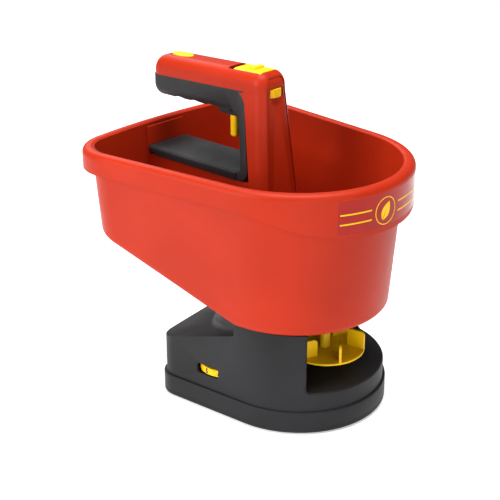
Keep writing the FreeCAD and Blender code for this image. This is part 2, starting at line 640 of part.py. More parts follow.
def half_at(z):
    (z1, h1), (z0, h0) = COLUMN_HALF
    return h0 + (h1 - h0) * (z - z0) / (z1 - z0)


def column_mass(inset, z0, z1):
    """Column between two heights, tapering in width, moved in by inset on every side."""
    points = [V(0, -half_at(z0) + inset, z0), V(0, half_at(z0) - inset, z0),
              V(0, half_at(z1) - inset, z1), V(0, -half_at(z1) + inset, z1)]
    wedge = Part.Face(Part.makePolygon(points + points[:1]))
    wedge.translate(V(-60, 0, 0))
    wedge = wedge.extrude(V(140, 0, 0))
    profile = [(x + inset, z) for x, z in COLUMN[:3]] + [(x - inset, z) for x, z in COLUMN[3:]]
    column = xz_prism(profile, -60, 60).common(wedge)
    front = [e for e in column.Edges if e.BoundBox.ZLength > 20 and e.BoundBox.XMin > 10 - inset]
    return column.makeFillet(GRIP_ROUND - inset, front)


def grip_mass(inset):
    """Upper half of the grip, domed on top and rounded at both ends."""
    low, high = PARTING, (GRIP_TOP[0] - inset, GRIP_TOP[1] - inset)
    rear, half = GRIP_REAR + inset, GRIP_HALF - inset
    corners = [(rear, low[0], 0), (rear, high[0], 14 - inset),
               (front_x(high[1]) - inset, high[1], 13 - inset), (front_x(low[1]) - inset, low[1], 0)]
    grip = rounded_prism(corners, -half, half)
    crown = [e for e in grip.Edges if e.BoundBox.YLength < 1e-3 and e.BoundBox.ZMax > low[1] + 1]
    return grip.makeFillet(GRIP_ROUND - inset, crown)


def front_x(z):
    (x0, z0), (x1, z1) = COLUMN[3:]
    return x0 + (x1 - x0) * (z - z0) / (z1 - z0)


def rear_x(z):
    """Rear face of the red column where the black strip covers it."""
    (x1, z1), (x0, z0) = COLUMN[:2]
    return x0 + (x1 - x0) * (z - z0) / (z1 - z0)


def column_wedge():
    """Band in YZ that follows the column's taper, along the whole handle."""
    top, low = 290.0, 190.0
    points = [V(-200, -half_at(low), low), V(-200, half_at(low), low),
              V(-200, half_at(top), top), V(-200, -half_at(top), top)]
    return Part.Face(Part.makePolygon(points + points[:1])).extrude(V(260, 0, 0))


def cover_grip(inset):
    """Lower half of the grip: a rounded tray that closes the red channel."""
    rear, front, half = GRIP_REAR + inset, STRIP[0][0] + 4, GRIP_HALF - inset
    low = (GRIP_LOW[0] + inset, GRIP_LOW[1] + inset)
    corners = [(rear, PARTING[0] + inset, 0), (rear, low[0], 11 - inset), (front, low[1], 0),
               (front, along(front, PARTING) + inset, 0)]
    body = rounded_prism(corners, -half, half)
    crown = [e for e in body.Edges if e.BoundBox.YLength < 1e-3 and e.BoundBox.ZMin < low[1] + 8
             and e.BoundBox.XMax < front + 1e-3 and e.BoundBox.XMin < front - 1e-3]
    return body.makeFillet(9 - inset, crown)


def strip_mass():
    """Black strip down the rear of the column, with the foot that meets the battery lid."""
    seam, bend = PAD_SEAM, along(-10, PARTING)
    corners = [(rear_x(bend), bend, 14), (rear_x(PAD_LOW) - 1.5, PAD_LOW, 9), (seam, PAD_LOW, 0),
               (seam, PAD_TOP, 0), (STRIP[2][0] - 1, PAD_TOP, 4), (STRIP[1][0], STRIP[1][1], 0),
               (STRIP[0][0], STRIP[0][1], 0), (STRIP[0][0] - 6, STRIP[0][1] + 2, 0),
               (STRIP[0][0] - 20, bend - 0.3, 0)]
    body = rounded_prism(corners, -60, 60)
    return body.common(column_wedge())


def cover_mass():
    side = BLADE[2] + 3
    block = box(BLADE[0] - 9, STRIP[0][0] + 2, -side, side, GRIP_LOW[0] - 2.4, GRIP_LOW[0] + 3)
    block = block.makeFillet(1.5, edges_at_z(block, GRIP_LOW[0] - 2.4))
    return cover_grip(0).multiFuse([strip_mass(), block])


def make_grip_cover():
    side = GRIP_HALF - SHELL - 1
    passage = box(STRIP[0][0] - 4, STRIP[0][0] + 14, -side, side, 264.5, 300)
    inner = box(GRIP_REAR, BLADE[0] + 30, -60, 60, GRIP_LOW[0] + SHELL + 2.4, 300)
    hollow = cover_grip(SHELL).common(inner)
    scallops = [ycyl(x, -30, 30, along(x, GRIP_LOW) - 10.0, 13.0) for x in FINGERS]
    slot = box(BLADE[0] - 6, BLADE[1] + 2.6, -BLADE[2] - 0.7, BLADE[2] + 0.7, 250, 270)
    pin = ycyl(PIVOT_X, -GRIP_HALF + 0.8, GRIP_HALF - 0.8, PIVOT_Z, 1.5)
    body = cover_mass().cut(hollow).cut(passage).cut(arm_way())
    ears = [box(PIVOT_X - 4, PIVOT_X + 4, y - 1.5, y + 1.5, 262, PIVOT_Z + 4) for y in (-13.6, 13.6)]
    boss = zcyl(CAP_X, 0, GRIP_LOW[0] + 3, PARTING[0], 4.5)
    body = body.multiFuse(ears + [boss]).cut(zcyl(CAP_X, 0, GRIP_LOW[0] + 8, 300, 1.4))
    return body.cut(Part.makeCompound(scallops)).cut(slot).cut(pin)


def arm_way():
    """Room for the trigger's arm as it tips down onto the rod."""
    return box(BLADE[1] + 4, GRIP_FRONT - 6, -3.3, 3.3, GRIP_LOW[0] + 1.8, PIVOT_Z + 2)


def handle_mass(inset):
    column = column_mass(inset, COLUMN_FOOT, PARTING[1] + 3)
    return grip_mass(inset).fuse(column).removeSplitter()


def panel_tool(gap):
    """Slab behind the column's front face, arched at the top and wider at the foot."""
    top, low, arch = 288.0, 122.0, 11.3 + gap
    foot = half_at(low) - 8 + gap
    x0, x1 = front_x(top) - SHELL - 6, 60.0
    a, b = V(x0, -foot, low - gap), V(x0, foot, low - gap)
    c, d = V(x0, arch, top), V(x0, -arch, top)
    crown = Part.Arc(c, V(x0, 0, top + arch), d).toShape()
    slab = Part.Face(Part.Wire([line(d, a), line(a, b), line(b, c), crown])).extrude(V(x1 - x0, 0, 0))
    behind = [(-60, 90), (front_x(90) - SHELL - gap, 90), (front_x(310) - SHELL - gap, 310), (-60, 310)]
    return slab.cut(xz_prism(behind, -60, 60))


def make_handle_shell():
    rear, side = GRIP_REAR + SHELL, GRIP_HALF - SHELL
    below = xz_prism([(rear, PARTING[0] - 5), (-4, PARTING[1] - 5), (-4, PARTING[1] + 2),
                      (rear, PARTING[0] + 1)], -side, side)
    inside = handle_mass(SHELL).fuse(below).cut(floor_wedge(WALL + 3))
    corner = box(-26, -6, -half_at(276), half_at(276), 266, PARTING[1])
    corner = corner.cut(box(-30, 0, -side, side, 260, 300)).common(column_wedge())
    shell = handle_mass(0).fuse(corner).cut(inside).cut(cover_mass())
    link = box(-16, 0, -side + 1, side - 1, 263, PARTING[1])
    shell = shell.cut(link).cut(arm_way()).cut(floor_wedge(WALL)).cut(panel_tool(PANEL_GAP))
    x0, x1, half = SWITCH
    window = box(x0 - SWITCH_TRAVEL - 0.3, x1 + 0.3, -half - 0.3, half + 0.3, 290, 310)
    bosses = [zcyl(x, y, FLOOR_Z, FLOOR_Z + 26, 4.2).cut(floor_wedge(WALL)) for x, y in COLUMN_SCREWS]
    cap_boss = zcyl(CAP_X, 0, PARTING[0] + 1, GRIP_TOP[0] - 1, 5.5)
    shell = shell.cut(window).multiFuse(bosses + [cap_boss])
    holes = [zcyl(x, y, FLOOR_Z, FLOOR_Z + 22, PILOT_R) for x, y in COLUMN_SCREWS]
    holes += [box(*PASSAGE, FLOOR_Z, FLOOR_Z + 20), wheel_slot()]
    holes += [zcyl(CAP_X, 0, 270, 310, 1.7), zcyl(CAP_X, 0, GRIP_TOP[0] - 5, 310, 3.4), cap_tool(0.15)]
    return largest(shell.cut(Part.makeCompound(holes)))


def largest(shape):
    """The main solid, without slivers left by a cut."""
    return max(shape.Solids, key=lambda solid: solid.Volume)


def cap_tool(gap):
    """Oval plug in the top of the grip."""
    z = along(CAP_X, GRIP_TOP) - 1.4
    oval = Part.Ellipse(V(CAP_X, 0, z), CAP_LONG / 2 + gap, CAP_WIDE / 2 + gap).toShape()
    return prism(Part.Wire(oval), 2.2)


def make_screw_cap():
    cap = cap_tool(0)
    cap = cap.makeFillet(0.7, [max(cap.Edges, key=lambda e: e.BoundBox.ZMin)])
    return cap


def wheel_slot():
    return zcyl(WHEEL_X, 0, WHEEL_Z[0] - 0.8, WHEEL_Z[1] + 0.8, WHEEL_R + 1.0)


def make_front_panel():
    z = (WHEEL_Z[0] + WHEEL_Z[1]) / 2
    centre = V(front_x(z) + DISH_OUT, 0, z - 2)
    dish = Part.makeSphere(DISH_R, centre)
    slot = wheel_slot()
    panel = handle_mass(PANEL_SUNK).common(panel_tool(0)).cut(slot).cut(dish)
    back = handle_mass(SHELL).common(box(-30, 60, -60, 60, 250, 310))
    lining = Part.makeSphere(DISH_R + DISH_SKIN, centre).common(back)
    lining = lining.cut(dish).cut(slot)
    return panel.fuse(lining)


# ---------------------------------------------------------------- handle fittings
def make_slide_switch():
    x0, x1, half = SWITCH
    plate = grip_mass(0).common(box(x0, x1, -half, half, along(x0, GRIP_TOP) - 4.5, 310))
    middle = x0 + 17
    crest = along(middle, GRIP_TOP)
    ridge = rounded_prism([(middle - 6, crest - 2, 0), (middle - 2.5, crest + 2.2, 2.5),
                           (middle + 3, crest + 2.2, 1.5), (middle + 5, crest - 2, 0)], -6.5, 6.5)
    stem = box(middle - 3, middle + 3, -4, 4, 291.8, crest - 2)
    return plate.multiFuse([ridge, stem])


def make_switch_body():
    x0 = SWITCH[0] + 17 - SWITCH_TRAVEL / 2
    low = WHEEL_Z[1] + 0.5
    body = box(x0 - 13, x0 + 11, -7, 7, low, low + 4)
    return body.cut(box(x0 - 8, x0 + 8, -4.5, 4.5, low + 2.3, low + 5))


def make_speed_wheel():
    z0, z1 = WHEEL_Z
    wheel = zcyl(WHEEL_X, 0, z0, z1, WHEEL_R)
    notches = []
    for k in range(WHEEL_NOTCHES):
        notch = zcyl(WHEEL_X + WHEEL_R + 0.15, 0, z0 - 1, z1 + 1, 0.95)
        notch.rotate(V(WHEEL_X, 0, 0), UP, k * 360 / WHEEL_NOTCHES)
        notches.append(notch)
    return wheel.cut(Part.makeCompound(notches)).cut(zcyl(WHEEL_X, 0, z0 - 1, z0 + 4, 2.0))


def make_speed_board():
    z = WHEEL_Z[0] - 8.6
    board = box(WHEEL_X - 9, WHEEL_X + 7, -10.5, 10.5, z, z + 1.4)
    body = zcyl(WHEEL_X, 0, z + 1.4, WHEEL_Z[0] - 1.5, 6.5)
    stem = zcyl(WHEEL_X, 0, WHEEL_Z[0] - 1.5, WHEEL_Z[0] + 3.9, 2.0 - FIT)
    return board.multiFuse([body, stem])


def make_trigger():
    x0, x1, half, tip = BLADE
    blade = box(x0, x1, -half, half, tip, PIVOT_Z)
    blade = blade.makeFillet(2.6, [e for e in blade.Edges if e.BoundBox.ZMin < PIVOT_Z - 1])
    blade = blade.cut(box(x0 - 1, x1 + 1, TRIGGER_HUB, half + 1, PIVOT_Z - 5, PIVOT_Z + 1))
    blade = blade.cut(box(x0 - 1, x1 + 1, -half - 1, -TRIGGER_HUB, PIVOT_Z - 5, PIVOT_Z + 1))
    hub = ycyl(PIVOT_X, -TRIGGER_HUB, TRIGGER_HUB, PIVOT_Z, 4.2)
    arm = box(PIVOT_X, ROD_X + 2.5, -2.5, 2.5, ROD_Z[1] + 0.3, PIVOT_Z + 1.6)
    body = blade.multiFuse([hub, arm])
    return body.cut(ycyl(PIVOT_X, -TRIGGER_HUB - 1, TRIGGER_HUB + 1, PIVOT_Z, 1.5 + FIT))


def make_trigger_spring():
    spring = coil(0, 0, 0, 4.4, 2.7, 0.4, 3.5)
    spring.rotate(V(0, 0, 0), V(1, 0, 0), -90)
    spring.translate(V(PIVOT_X, TRIGGER_HUB + 0.1, PIVOT_Z))
    return spring


def make_microswitch():
    x1 = BLADE[0] - 5.8
    body = box(x1 - 20, x1, -3.2, 3.2, 264.6, 275)
    return body.fuse(xcyl(x1, x1 + 1.4, 0, 266.6, 1.2))


def make_rod():
    z0, z1 = ROD_Z
    rod = zcyl(ROD_X, 0, z0, z1, ROD_R)
    collar = ROD_SPRING_Z[1] + 0.2
    return rod.fuse(zcyl(ROD_X, 0, collar, collar + 2, 4.0))


def make_rod_bracket():
    """Shelf in the column that guides the rod and carries its return spring."""
    z = ROD_SPRING_Z[0] - 2.6
    shelf = column_mass(SHELL + 0.05, 120, 280).common(box(-20, 40, -60, 60, z, z + 2.4))
    sleeve = zcyl(ROD_X, 0, z - 8, z + 2.4, 3.0)
    wire_way = box(6, 18, -18, -9.5, z - 1, z + 3)
    return shelf.cut(wire_way).fuse(sleeve).cut(zcyl(ROD_X, 0, z - 9, z + 5, ROD_R + FIT))


# ---------------------------------------------------------------- battery box
def make_battery_box():
    x0, x1, half, z0 = TRAY
    tray = box(x0, x1, -half, half, z0, PAD_LOW).cut(column_mass(0, 150, PAD_LOW + 5))
    side = half - TRAY_WALL
    cavity = box(x0 + TRAY_WALL, PAD_SEAM - 1, -side, side, z0 + TRAY_WALL, PAD_LOW + 1)
    floor_edges = [e for e in edges_at_z(tray, z0) if e.BoundBox.XLength > 50]
    tray = tray.makeFillet(4.0, floor_edges).cut(cavity)
    back = box(x0 - 3.6, x0 - 1.9, -half, half, PAD_LOW - 20, RIM_TOP - 4)
    back = back.fuse(box(x0 - 3.6, x0 + 0.5, -half, half, PAD_LOW - 20, PAD_LOW - 0.5))
    rib = box(x0 + TRAY_WALL, PAD_SEAM - 2, -0.8, 0.8, z0 + 1, z0 + 12)
    hy, hz = LID_HINGE
    knuckles = []
    for x in BOX_KNUCKLES:
        end = x + KNUCKLE_LONG
        web = box(x, end, half - 1, hy, hz - KNUCKLE_R, hz + 1)
        knuckles.append(xcyl(x, end, hy, hz, KNUCKLE_R).fuse(web))
    body = tray.multiFuse([back, rib] + knuckles)
    return body.cut(xcyl(x0, 0, hy, hz, LID_PIN_R)).cut(rear_wall_clear())


def rear_wall_clear():
    """Hopper wall, so that the back plate follows it."""
    return hopper_body(-1, -5, RIM_TOP + 4).cut(hopper_body(WALL + TINY, WALL, RIM_TOP + 5))


def make_battery_lid():
    rear = TRAY[0] - 1.6
    lid = box(rear, PAD_SEAM - TINY, -PAD_HALF, PAD_HALF, PAD_LOW + 0.1, PAD_TOP)
    upright = [e for e in lid.Edges if e.BoundBox.ZLength > 5 and e.BoundBox.XMax < rear + 1]
    lid = lid.makeFillet(4.0, upright)
    lid = lid.makeFillet(2.6, [e for e in edges_at_top(lid, PAD_TOP) if e.BoundBox.XMin < PAD_SEAM - 1])
    side = TRAY[2] - TRAY_WALL
    lip = box(rear + 4.2, PAD_SEAM - 1.6, -side + 0.3, side - 2, PAD_LOW - 2, PAD_LOW + 1)
    well = box(rear + 6, PAD_SEAM - 3.4, -side + 2, side - 4, PAD_LOW - 3, PAD_TOP - 2.5)
    hy, hz = LID_HINGE
    ears = []
    for x in LID_KNUCKLES:
        end = x + KNUCKLE_LONG
        web = box(x, end, hy - KNUCKLE_R + 0.1, hy + KNUCKLE_R, hz, PAD_LOW + 2)
        ears.append(xcyl(x, end, hy, hz, KNUCKLE_R).fuse(web))
    notch = ycyl(rear + 7, -PAD_HALF - 1, -PAD_HALF + 3, PAD_LOW - 1, 3.5)
    body = lid.fuse(lip).cut(well).multiFuse(ears).cut(notch)
    return body.cut(xcyl(TRAY[0], 0, hy, hz, LID_PIN_R + FIT))


def edges_at_top(shape, z):
    return [e for e in edges_at_z(shape, z) if e.BoundBox.ZMin > z - 1e-3]


def make_cells():
    cells = []
    for y in (-CELL_Y, CELL_Y):
        for k in range(2):
            x = TRAY[0] + TRAY_WALL + 4 + k * (CELL_LONG + 0.6)
            can = xcyl(x, x + CELL_LONG - 1.2, y, CELL_Z, CELL_R)
            can = can.makeFillet(0.6, [e for e in can.Edges if e.BoundBox.XLength < 1e-3])
            cells.append(can.fuse(xcyl(x + CELL_LONG - 1.3, x + CELL_LONG, y, CELL_Z, 2.7)))
    return cells


def make_contacts():
    x0, x1 = TRAY[0] + TRAY_WALL, PAD_SEAM - 1
    plates = [box(x0, x0 + 0.5, y - 6, y + 6, CELL_Z - 6, CELL_Z + 6) for y in (-CELL_Y, CELL_Y)]
    plates.append(box(x1 - 0.5, x1, -14.5, 14.5, CELL_Z - 6, CELL_Z + 6))
    springs = []
    for y in (-CELL_Y, CELL_Y):
        spring = coil(0, 0, 0, 3.3, 3.0, 0.4, 3)
        spring.rotate(V(0, 0, 0), V(0, 1, 0), 90)
        spring.translate(V(x0 + 0.5, y, CELL_Z))
        springs.append(spring)
    return plates, springs


# ---------------------------------------------------------------- rate dial
def make_rate_dial():
    z0, z1 = DIAL_Z
    band = zcyl(DIAL_X, DIAL_Y, z0, z1, DIAL_R).cut(zcyl(DIAL_X, DIAL_Y, z0 + 2, z1 + 1, DIAL_R - 2))
    hub = zcyl(DIAL_X, DIAL_Y, z0, z1 + 3, 5.0)
    cam = zcyl(DIAL_X + 4, DIAL_Y + 3, z0 + 1, z1 + 1, 11)
    body = band.multiFuse([hub, cam])
    notches = []
    for k in range(DIAL_STOPS):
        notch = zcyl(DIAL_X, DIAL_Y - DIAL_R, z1 - 1.4, z1 + 1, 0.9)
        notch.rotate(V(DIAL_X, DIAL_Y, 0), UP, (k - 0.5) * DIAL_STEP)
        notches.append(notch)
    return body.cut(Part.makeCompound(notches)).cut(zcyl(DIAL_X, DIAL_Y, z0 - 1, z1 + 4, SPINDLE_R + FIT))


def make_dial_spindle():
    z1 = DIAL_Z[1]
    pin = zcyl(DIAL_X, DIAL_Y, PLATE_BOTTOM + WALL, z1 + 5.5, SPINDLE_R)
    return pin.fuse(zcyl(DIAL_X, DIAL_Y, z1 + 3.4, z1 + 5.5, 4.0))


# ---------------------------------------------------------------- wiring
def tube(points, radius):
    """Round tube on straight runs joined by tangent arcs."""
    edges, last = [], points[0]
    for a, b, c in zip(points, points[1:], points[2:]):
        back, ahead = (a - b), (c - b)
        short = min(back.Length, ahead.Length)
        back, ahead = back.normalize(), ahead.normalize()
        half = back.getAngle(ahead) / 2
        reach = 0.45 * short
        bend = reach * math.tan(half)
        middle = b + (back + ahead).normalize() * (bend / math.sin(half) - bend)
        start, end = b + back * reach, b + ahead * reach
        edges += [line(last, start), Part.Arc(start, middle, end).toShape()]
        last = end
    edges.append(line(last, points[-1]))
    path = Part.Wire(edges)
    section = Part.Wire(Part.Circle(points[0], points[1] - points[0], radius).toShape())
    return path.makePipeShell([section], True, False)


def make_wires():
    spread = 1.6
    routes = []
    for side in (-spread, spread):
        routes.append([V(4.5, side - 13, 262), V(10, side - 13.5, 225), V(15.5, side - 13, 180),
                       V(15, side - 9, 140), V(12, side - 9, 110), V(12, side - 11, 85),
                       V(12, side - 11, 61), V(MOTOR_X - 1.5, side * 0.5 - 5, MOTOR_Z[1] + 2)])
    return [tube(route, 0.9) for route in routes]


def make_label():
    return label_band(0.05, LABEL_DEEP - 0.02)


if __name__ == "__main__":
    save("hopper", make_hopper())
    save("front_label", make_label())
    save("handle_shell", make_handle_shell())
    save("grip_cover", make_grip_cover())
    save("front_panel", make_front_panel())
    save("screw_cap", make_screw_cap())
    save("slide_switch", make_slide_switch())
    save("slide_switch_body", make_switch_body())
    save("speed_wheel", make_speed_wheel())
    save("speed_board", make_speed_board())
    save("trigger", make_trigger())
    save("trigger_pin", ycyl(PIVOT_X, -GRIP_HALF + 1, GRIP_HALF - 1, PIVOT_Z, 1.5))
    save("trigger_spring", make_trigger_spring())
    save("microswitch", make_microswitch())
    save("push_rod", make_rod())
    save("rod_bracket", make_rod_bracket())
    save("rod_spring", coil(ROD_X, 0, *ROD_SPRING_Z, 2.9, 0.4, 7))
    save("battery_box", make_battery_box())
    save("battery_lid", make_battery_lid())
    save("lid_hinge_pin", xcyl(BOX_KNUCKLES[0] - 2, BOX_KNUCKLES[2] + 11, *LID_HINGE, LID_PIN_R))
    save("battery_cells", *make_cells())
    plates, springs = make_contacts()
    save("battery_contacts", *plates)
    save("contact_springs", *springs)
    save("base_housing", make_base_housing())
    save("base_plate", make_base_plate())
    save("rubber_feet", *make_feet())
    screws = [screw(x, y, PLATE_BOTTOM + 1.8, 22, 2.9, PILOT_R) for x, y in PLATE_SCREWS]
    save("base_screws", *screws)
    screws = [screw(x, y, FLOOR_Z + WALL, CEILING - 5, 3.4, PILOT_R) for x, y in HOPPER_SCREWS]
    save("hopper_screws", *screws)
    screws = [screw(x, y, FLOOR_Z + 3.4, FLOOR_Z + 21, 3.2, PILOT_R) for x, y in COLUMN_SCREWS]
    save("column_screws", *screws)
    save("handle_screw", screw(CAP_X, 0, GRIP_TOP[0] - 5, GRIP_LOW[0] + 9, 3.2, 1.4))
    save("motor", make_motor())
    save("motor_mount", make_motor_mount())
    save("motor_shaft", zcyl(MOTOR_X, 0, LARGE_GEAR_Z[0] - 2, MOTOR_Z[0] + 11, 1.0))
    save("motor_pinion", make_pinion())
    save("idler_gear", make_idler_gear())
    save("idler_axle", zcyl(IDLER_X, 0, PLATE_BOTTOM + WALL, BAY_FLOOR - 2.2, AXLE_R))
    save("drive_gear", make_drive_gear())
    save("disc_shaft", zcyl(DISC_X, 0, PLATE_BOTTOM + WALL + 1.2, FLOOR_Z + WALL + 8.8, SHAFT_R))
    save("lower_bush", bush(PLATE_BOTTOM + WALL + 1.1, PLATE_TOP + 6, PLATE_TOP + 6))
    save("middle_bush", bush(BAY_FLOOR - 5, DISC_Z - 9, DISC_Z - 9))
    save("upper_bush", bush(CEILING, FLOOR_Z + WALL, FLOOR_Z + WALL))
    save("spreader_disc", make_disc())
    save("agitator", make_agitator())
    save("shutter_guide", make_shutter_guide())
    save("feed_shutter", make_shutter())
    save("bell_crank", make_bell_crank())
    save("crank_bracket", make_crank_bracket())
    save("crank_pin", ycyl(CRANK_X, -8, CRANK_SIDE + 6, CRANK_Z, 1.5))
    save("rate_dial", make_rate_dial())
    save("dial_spindle", make_dial_spindle())
    save("wire_harness", *make_wires())
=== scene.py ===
import json
import math

import bmesh
import bpy
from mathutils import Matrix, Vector

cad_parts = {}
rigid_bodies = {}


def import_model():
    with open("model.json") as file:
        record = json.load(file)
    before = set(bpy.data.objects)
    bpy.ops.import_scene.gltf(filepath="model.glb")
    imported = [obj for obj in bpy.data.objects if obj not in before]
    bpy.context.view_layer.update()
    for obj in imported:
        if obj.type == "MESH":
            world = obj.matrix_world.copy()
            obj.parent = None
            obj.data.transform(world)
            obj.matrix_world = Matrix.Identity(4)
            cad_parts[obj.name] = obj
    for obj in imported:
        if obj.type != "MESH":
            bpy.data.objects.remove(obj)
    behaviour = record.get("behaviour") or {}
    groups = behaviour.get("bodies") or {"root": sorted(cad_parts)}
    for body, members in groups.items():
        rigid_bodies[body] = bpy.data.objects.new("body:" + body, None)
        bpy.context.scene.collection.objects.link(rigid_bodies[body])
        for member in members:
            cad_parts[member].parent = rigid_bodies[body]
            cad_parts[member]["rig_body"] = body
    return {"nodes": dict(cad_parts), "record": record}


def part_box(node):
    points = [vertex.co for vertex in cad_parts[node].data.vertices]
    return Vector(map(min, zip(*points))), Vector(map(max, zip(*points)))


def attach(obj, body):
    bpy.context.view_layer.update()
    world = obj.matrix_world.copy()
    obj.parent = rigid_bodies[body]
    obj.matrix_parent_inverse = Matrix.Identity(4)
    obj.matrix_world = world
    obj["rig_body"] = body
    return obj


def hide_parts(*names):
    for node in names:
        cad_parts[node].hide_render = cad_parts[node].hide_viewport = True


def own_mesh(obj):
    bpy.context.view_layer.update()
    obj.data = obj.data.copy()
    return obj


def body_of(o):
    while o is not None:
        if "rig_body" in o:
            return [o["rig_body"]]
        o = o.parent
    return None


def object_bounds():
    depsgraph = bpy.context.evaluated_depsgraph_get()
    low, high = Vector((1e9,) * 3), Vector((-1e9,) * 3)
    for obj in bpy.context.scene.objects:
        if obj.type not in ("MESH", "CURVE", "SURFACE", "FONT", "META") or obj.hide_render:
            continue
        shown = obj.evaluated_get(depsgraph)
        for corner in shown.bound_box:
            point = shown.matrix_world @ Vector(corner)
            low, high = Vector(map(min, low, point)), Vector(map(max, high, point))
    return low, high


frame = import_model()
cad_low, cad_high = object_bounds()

# Battery hand spreader around its CAD frame. Metres, +Z up, +X forward, -Y the dial side.

MM = 0.001
NODES = frame["nodes"]
SLOTS = {part["node"]: part["material_slot"] for part in frame["record"]["subparts"]}

# camera
CAMERA_AT = Vector((0.6740, -0.7560, 0.5645))
CAMERA_TO = Vector((-0.01756, 0.0, 0.12575))
LENS = 85.56

# studio: place, size, power and the point it faces
LIGHTS = {
    "key_left": ((-0.40, -1.45, 0.85), 0.9, 17.5, (0.0, 0.0, 0.12)),
    "top_soft": ((0.05, -0.05, 1.80), 1.2, 50.0, (0.0, 0.0, 0.10)),
    "front_fill": ((1.40, -0.60, 0.60), 0.7, 4.5, (0.0, 0.0, 0.10)),
    "low_front": ((0.95, -0.95, 0.16), 0.35, 2.6, (0.075, -0.03, 0.065)),
    "low_left": ((-0.45, -1.30, 0.45), 0.40, 4.0, (-0.03, 0.0, 0.25)),
    "back_soft": ((-1.30, 0.55, 1.20), 0.9, 9.0, (0.0, 0.0, 0.15)),
}
WORLD_STRENGTH = 0.18
FLOOR_HALF = 6.0
FLOOR_GLOW = 0.42

# colours, linear
RED = (0.37, 0.020, 0.004, 1)
RED_DEEP = (0.33, 0.017, 0.003, 1)
LABEL_RED = (0.28, 0.005, 0.001, 1)
LABEL_PALE = (0.35, 0.008, 0.003, 1)
CHARCOAL = (0.010, 0.010, 0.011, 1)
CHARCOAL_PALE = (0.014, 0.014, 0.0155, 1)
BLACK = (0.007, 0.007, 0.008, 1)
BLACK_PALE = (0.011, 0.011, 0.012, 1)
YELLOW = (0.80, 0.48, 0.003, 1)
YELLOW_DEEP = (0.74, 0.43, 0.002, 1)
DUST = (0.06, 0.06, 0.062, 1)
PAPER = (0.86, 0.86, 0.86, 1)
PAPER_PALE = (0.88, 0.88, 0.88, 1)
ZINC = ((0.55, 0.55, 0.52, 1), (0.70, 0.70, 0.68, 1))
BRONZE = ((0.42, 0.24, 0.09, 1), (0.52, 0.32, 0.13, 1))
STEEL = ((0.48, 0.48, 0.48, 1), (0.60, 0.60, 0.60, 1))
NYLON = ((0.74, 0.70, 0.58, 1), (0.68, 0.63, 0.50, 1))
MASK_GREEN = ((0.02, 0.16, 0.05, 1), (0.03, 0.21, 0.07, 1))
WRAP_BLUE = ((0.10, 0.15, 0.22, 1), (0.13, 0.19, 0.27, 1))
WIRE_RED = ((0.45, 0.02, 0.02, 1), (0.38, 0.02, 0.02, 1))

# rounding of the CAD nodes' sharp edges
WELD = 0.005 * MM
SHARP_ANGLE = math.radians(28)
SOFT_EDGES = {
    "battery_lid": 0.45 * MM,
    "base_plate": 0.35 * MM,
    "trigger": 0.30 * MM,
    "slide_switch": 0.30 * MM,
    "spreader_disc": 0.25 * MM,
    "screw_cap": 0.20 * MM,
    "front_panel": 0.25 * MM,
    "base_housing": 0.30 * MM,
    "grip_cover": 0.25 * MM,
    "battery_box": 0.30 * MM,
}

# bodies of the moving pieces
ROOT = "body"
DIAL_BODY = "rate_dial_body"


# ---------------------------------------------------------------- materials
class Nodes:
    """A material and short calls that add nodes to it."""

    def __init__(self, name):
        self.material = bpy.data.materials.new(name)
        self.material.use_nodes = True
        self.tree = self.material.node_tree
        self.shader = self.tree.nodes["Principled BSDF"]
        self.place = self.tree.nodes.new("ShaderNodeTexCoord").outputs["Object"]

    def link(self, source, target):
        self.tree.links.new(source, target)

    def noise(self, scale, detail=3.0, rough=0.5, stretch=None):
        node = self.tree.nodes.new("ShaderNodeTexNoise")
        node.inputs["Scale"].default_value = scale
        node.inputs["Detail"].default_value = detail
        node.inputs["Roughness"].default_value = rough
        place = self.place
        if stretch:
            mapping = self.tree.nodes.new("ShaderNodeMapping")
            mapping.inputs["Scale"].default_value = stretch
            self.link(place, mapping.inputs["Vector"])
            place = mapping.outputs["Vector"]
        self.link(place, node.inputs["Vector"])
        return node.outputs["Fac"]

    def cells(self, scale):
        node = self.tree.nodes.new("ShaderNodeTexVoronoi")
        node.inputs["Scale"].default_value = scale
        self.link(self.place, node.inputs["Vector"])
        return node.outputs["Distance"]

    def span(self, source, low, high, start=0.3, end=0.7):
        """Source values from start to end, spread from low to high."""
        node = self.tree.nodes.new("ShaderNodeMapRange")
        for name, value in zip(("From Min", "From Max", "To Min", "To Max"), (start, end, low, high)):
            node.inputs[name].default_value = value
        self.link(source, node.inputs["Value"])
        return node.outputs["Result"]

    def ramp(self, source, colours, start=0.35, end=0.65):
        node = self.tree.nodes.new("ShaderNodeValToRGB")
        stops = node.color_ramp.elements
        stops[0].position, stops[1].position = start, end
        stops[0].color, stops[1].color = colours
        self.link(source, node.inputs["Fac"])
        return node.outputs["Color"]

    def blend(self, amount, first, tone):
        """A colour socket, turned towards a plain tone by amount."""
        node = self.tree.nodes.new("ShaderNodeMix")
        node.data_type = "RGBA"
        self.link(amount, node.inputs[0])
        self.link(first, node.inputs[6])
        node.inputs[7].default_value = tone
        return node.outputs[2]

    def bump(self, height, strength, distance, below=None):
        node = self.tree.nodes.new("ShaderNodeBump")
        node.inputs["Strength"].default_value = strength
        node.inputs["Distance"].default_value = distance
        self.link(height, node.inputs["Height"])
        if below:
            self.link(below, node.inputs["Normal"])
        return node.outputs["Normal"]

    def finish(self, colour, roughness, normal, **sockets):
        self.link(colour, self.shader.inputs["Base Color"])
        self.link(roughness, self.shader.inputs["Roughness"])
        self.link(normal, self.shader.inputs["Normal"])
        for name, value in sockets.items():
            self.shader.inputs[name.replace("_", " ")].default_value = value
        return self.material


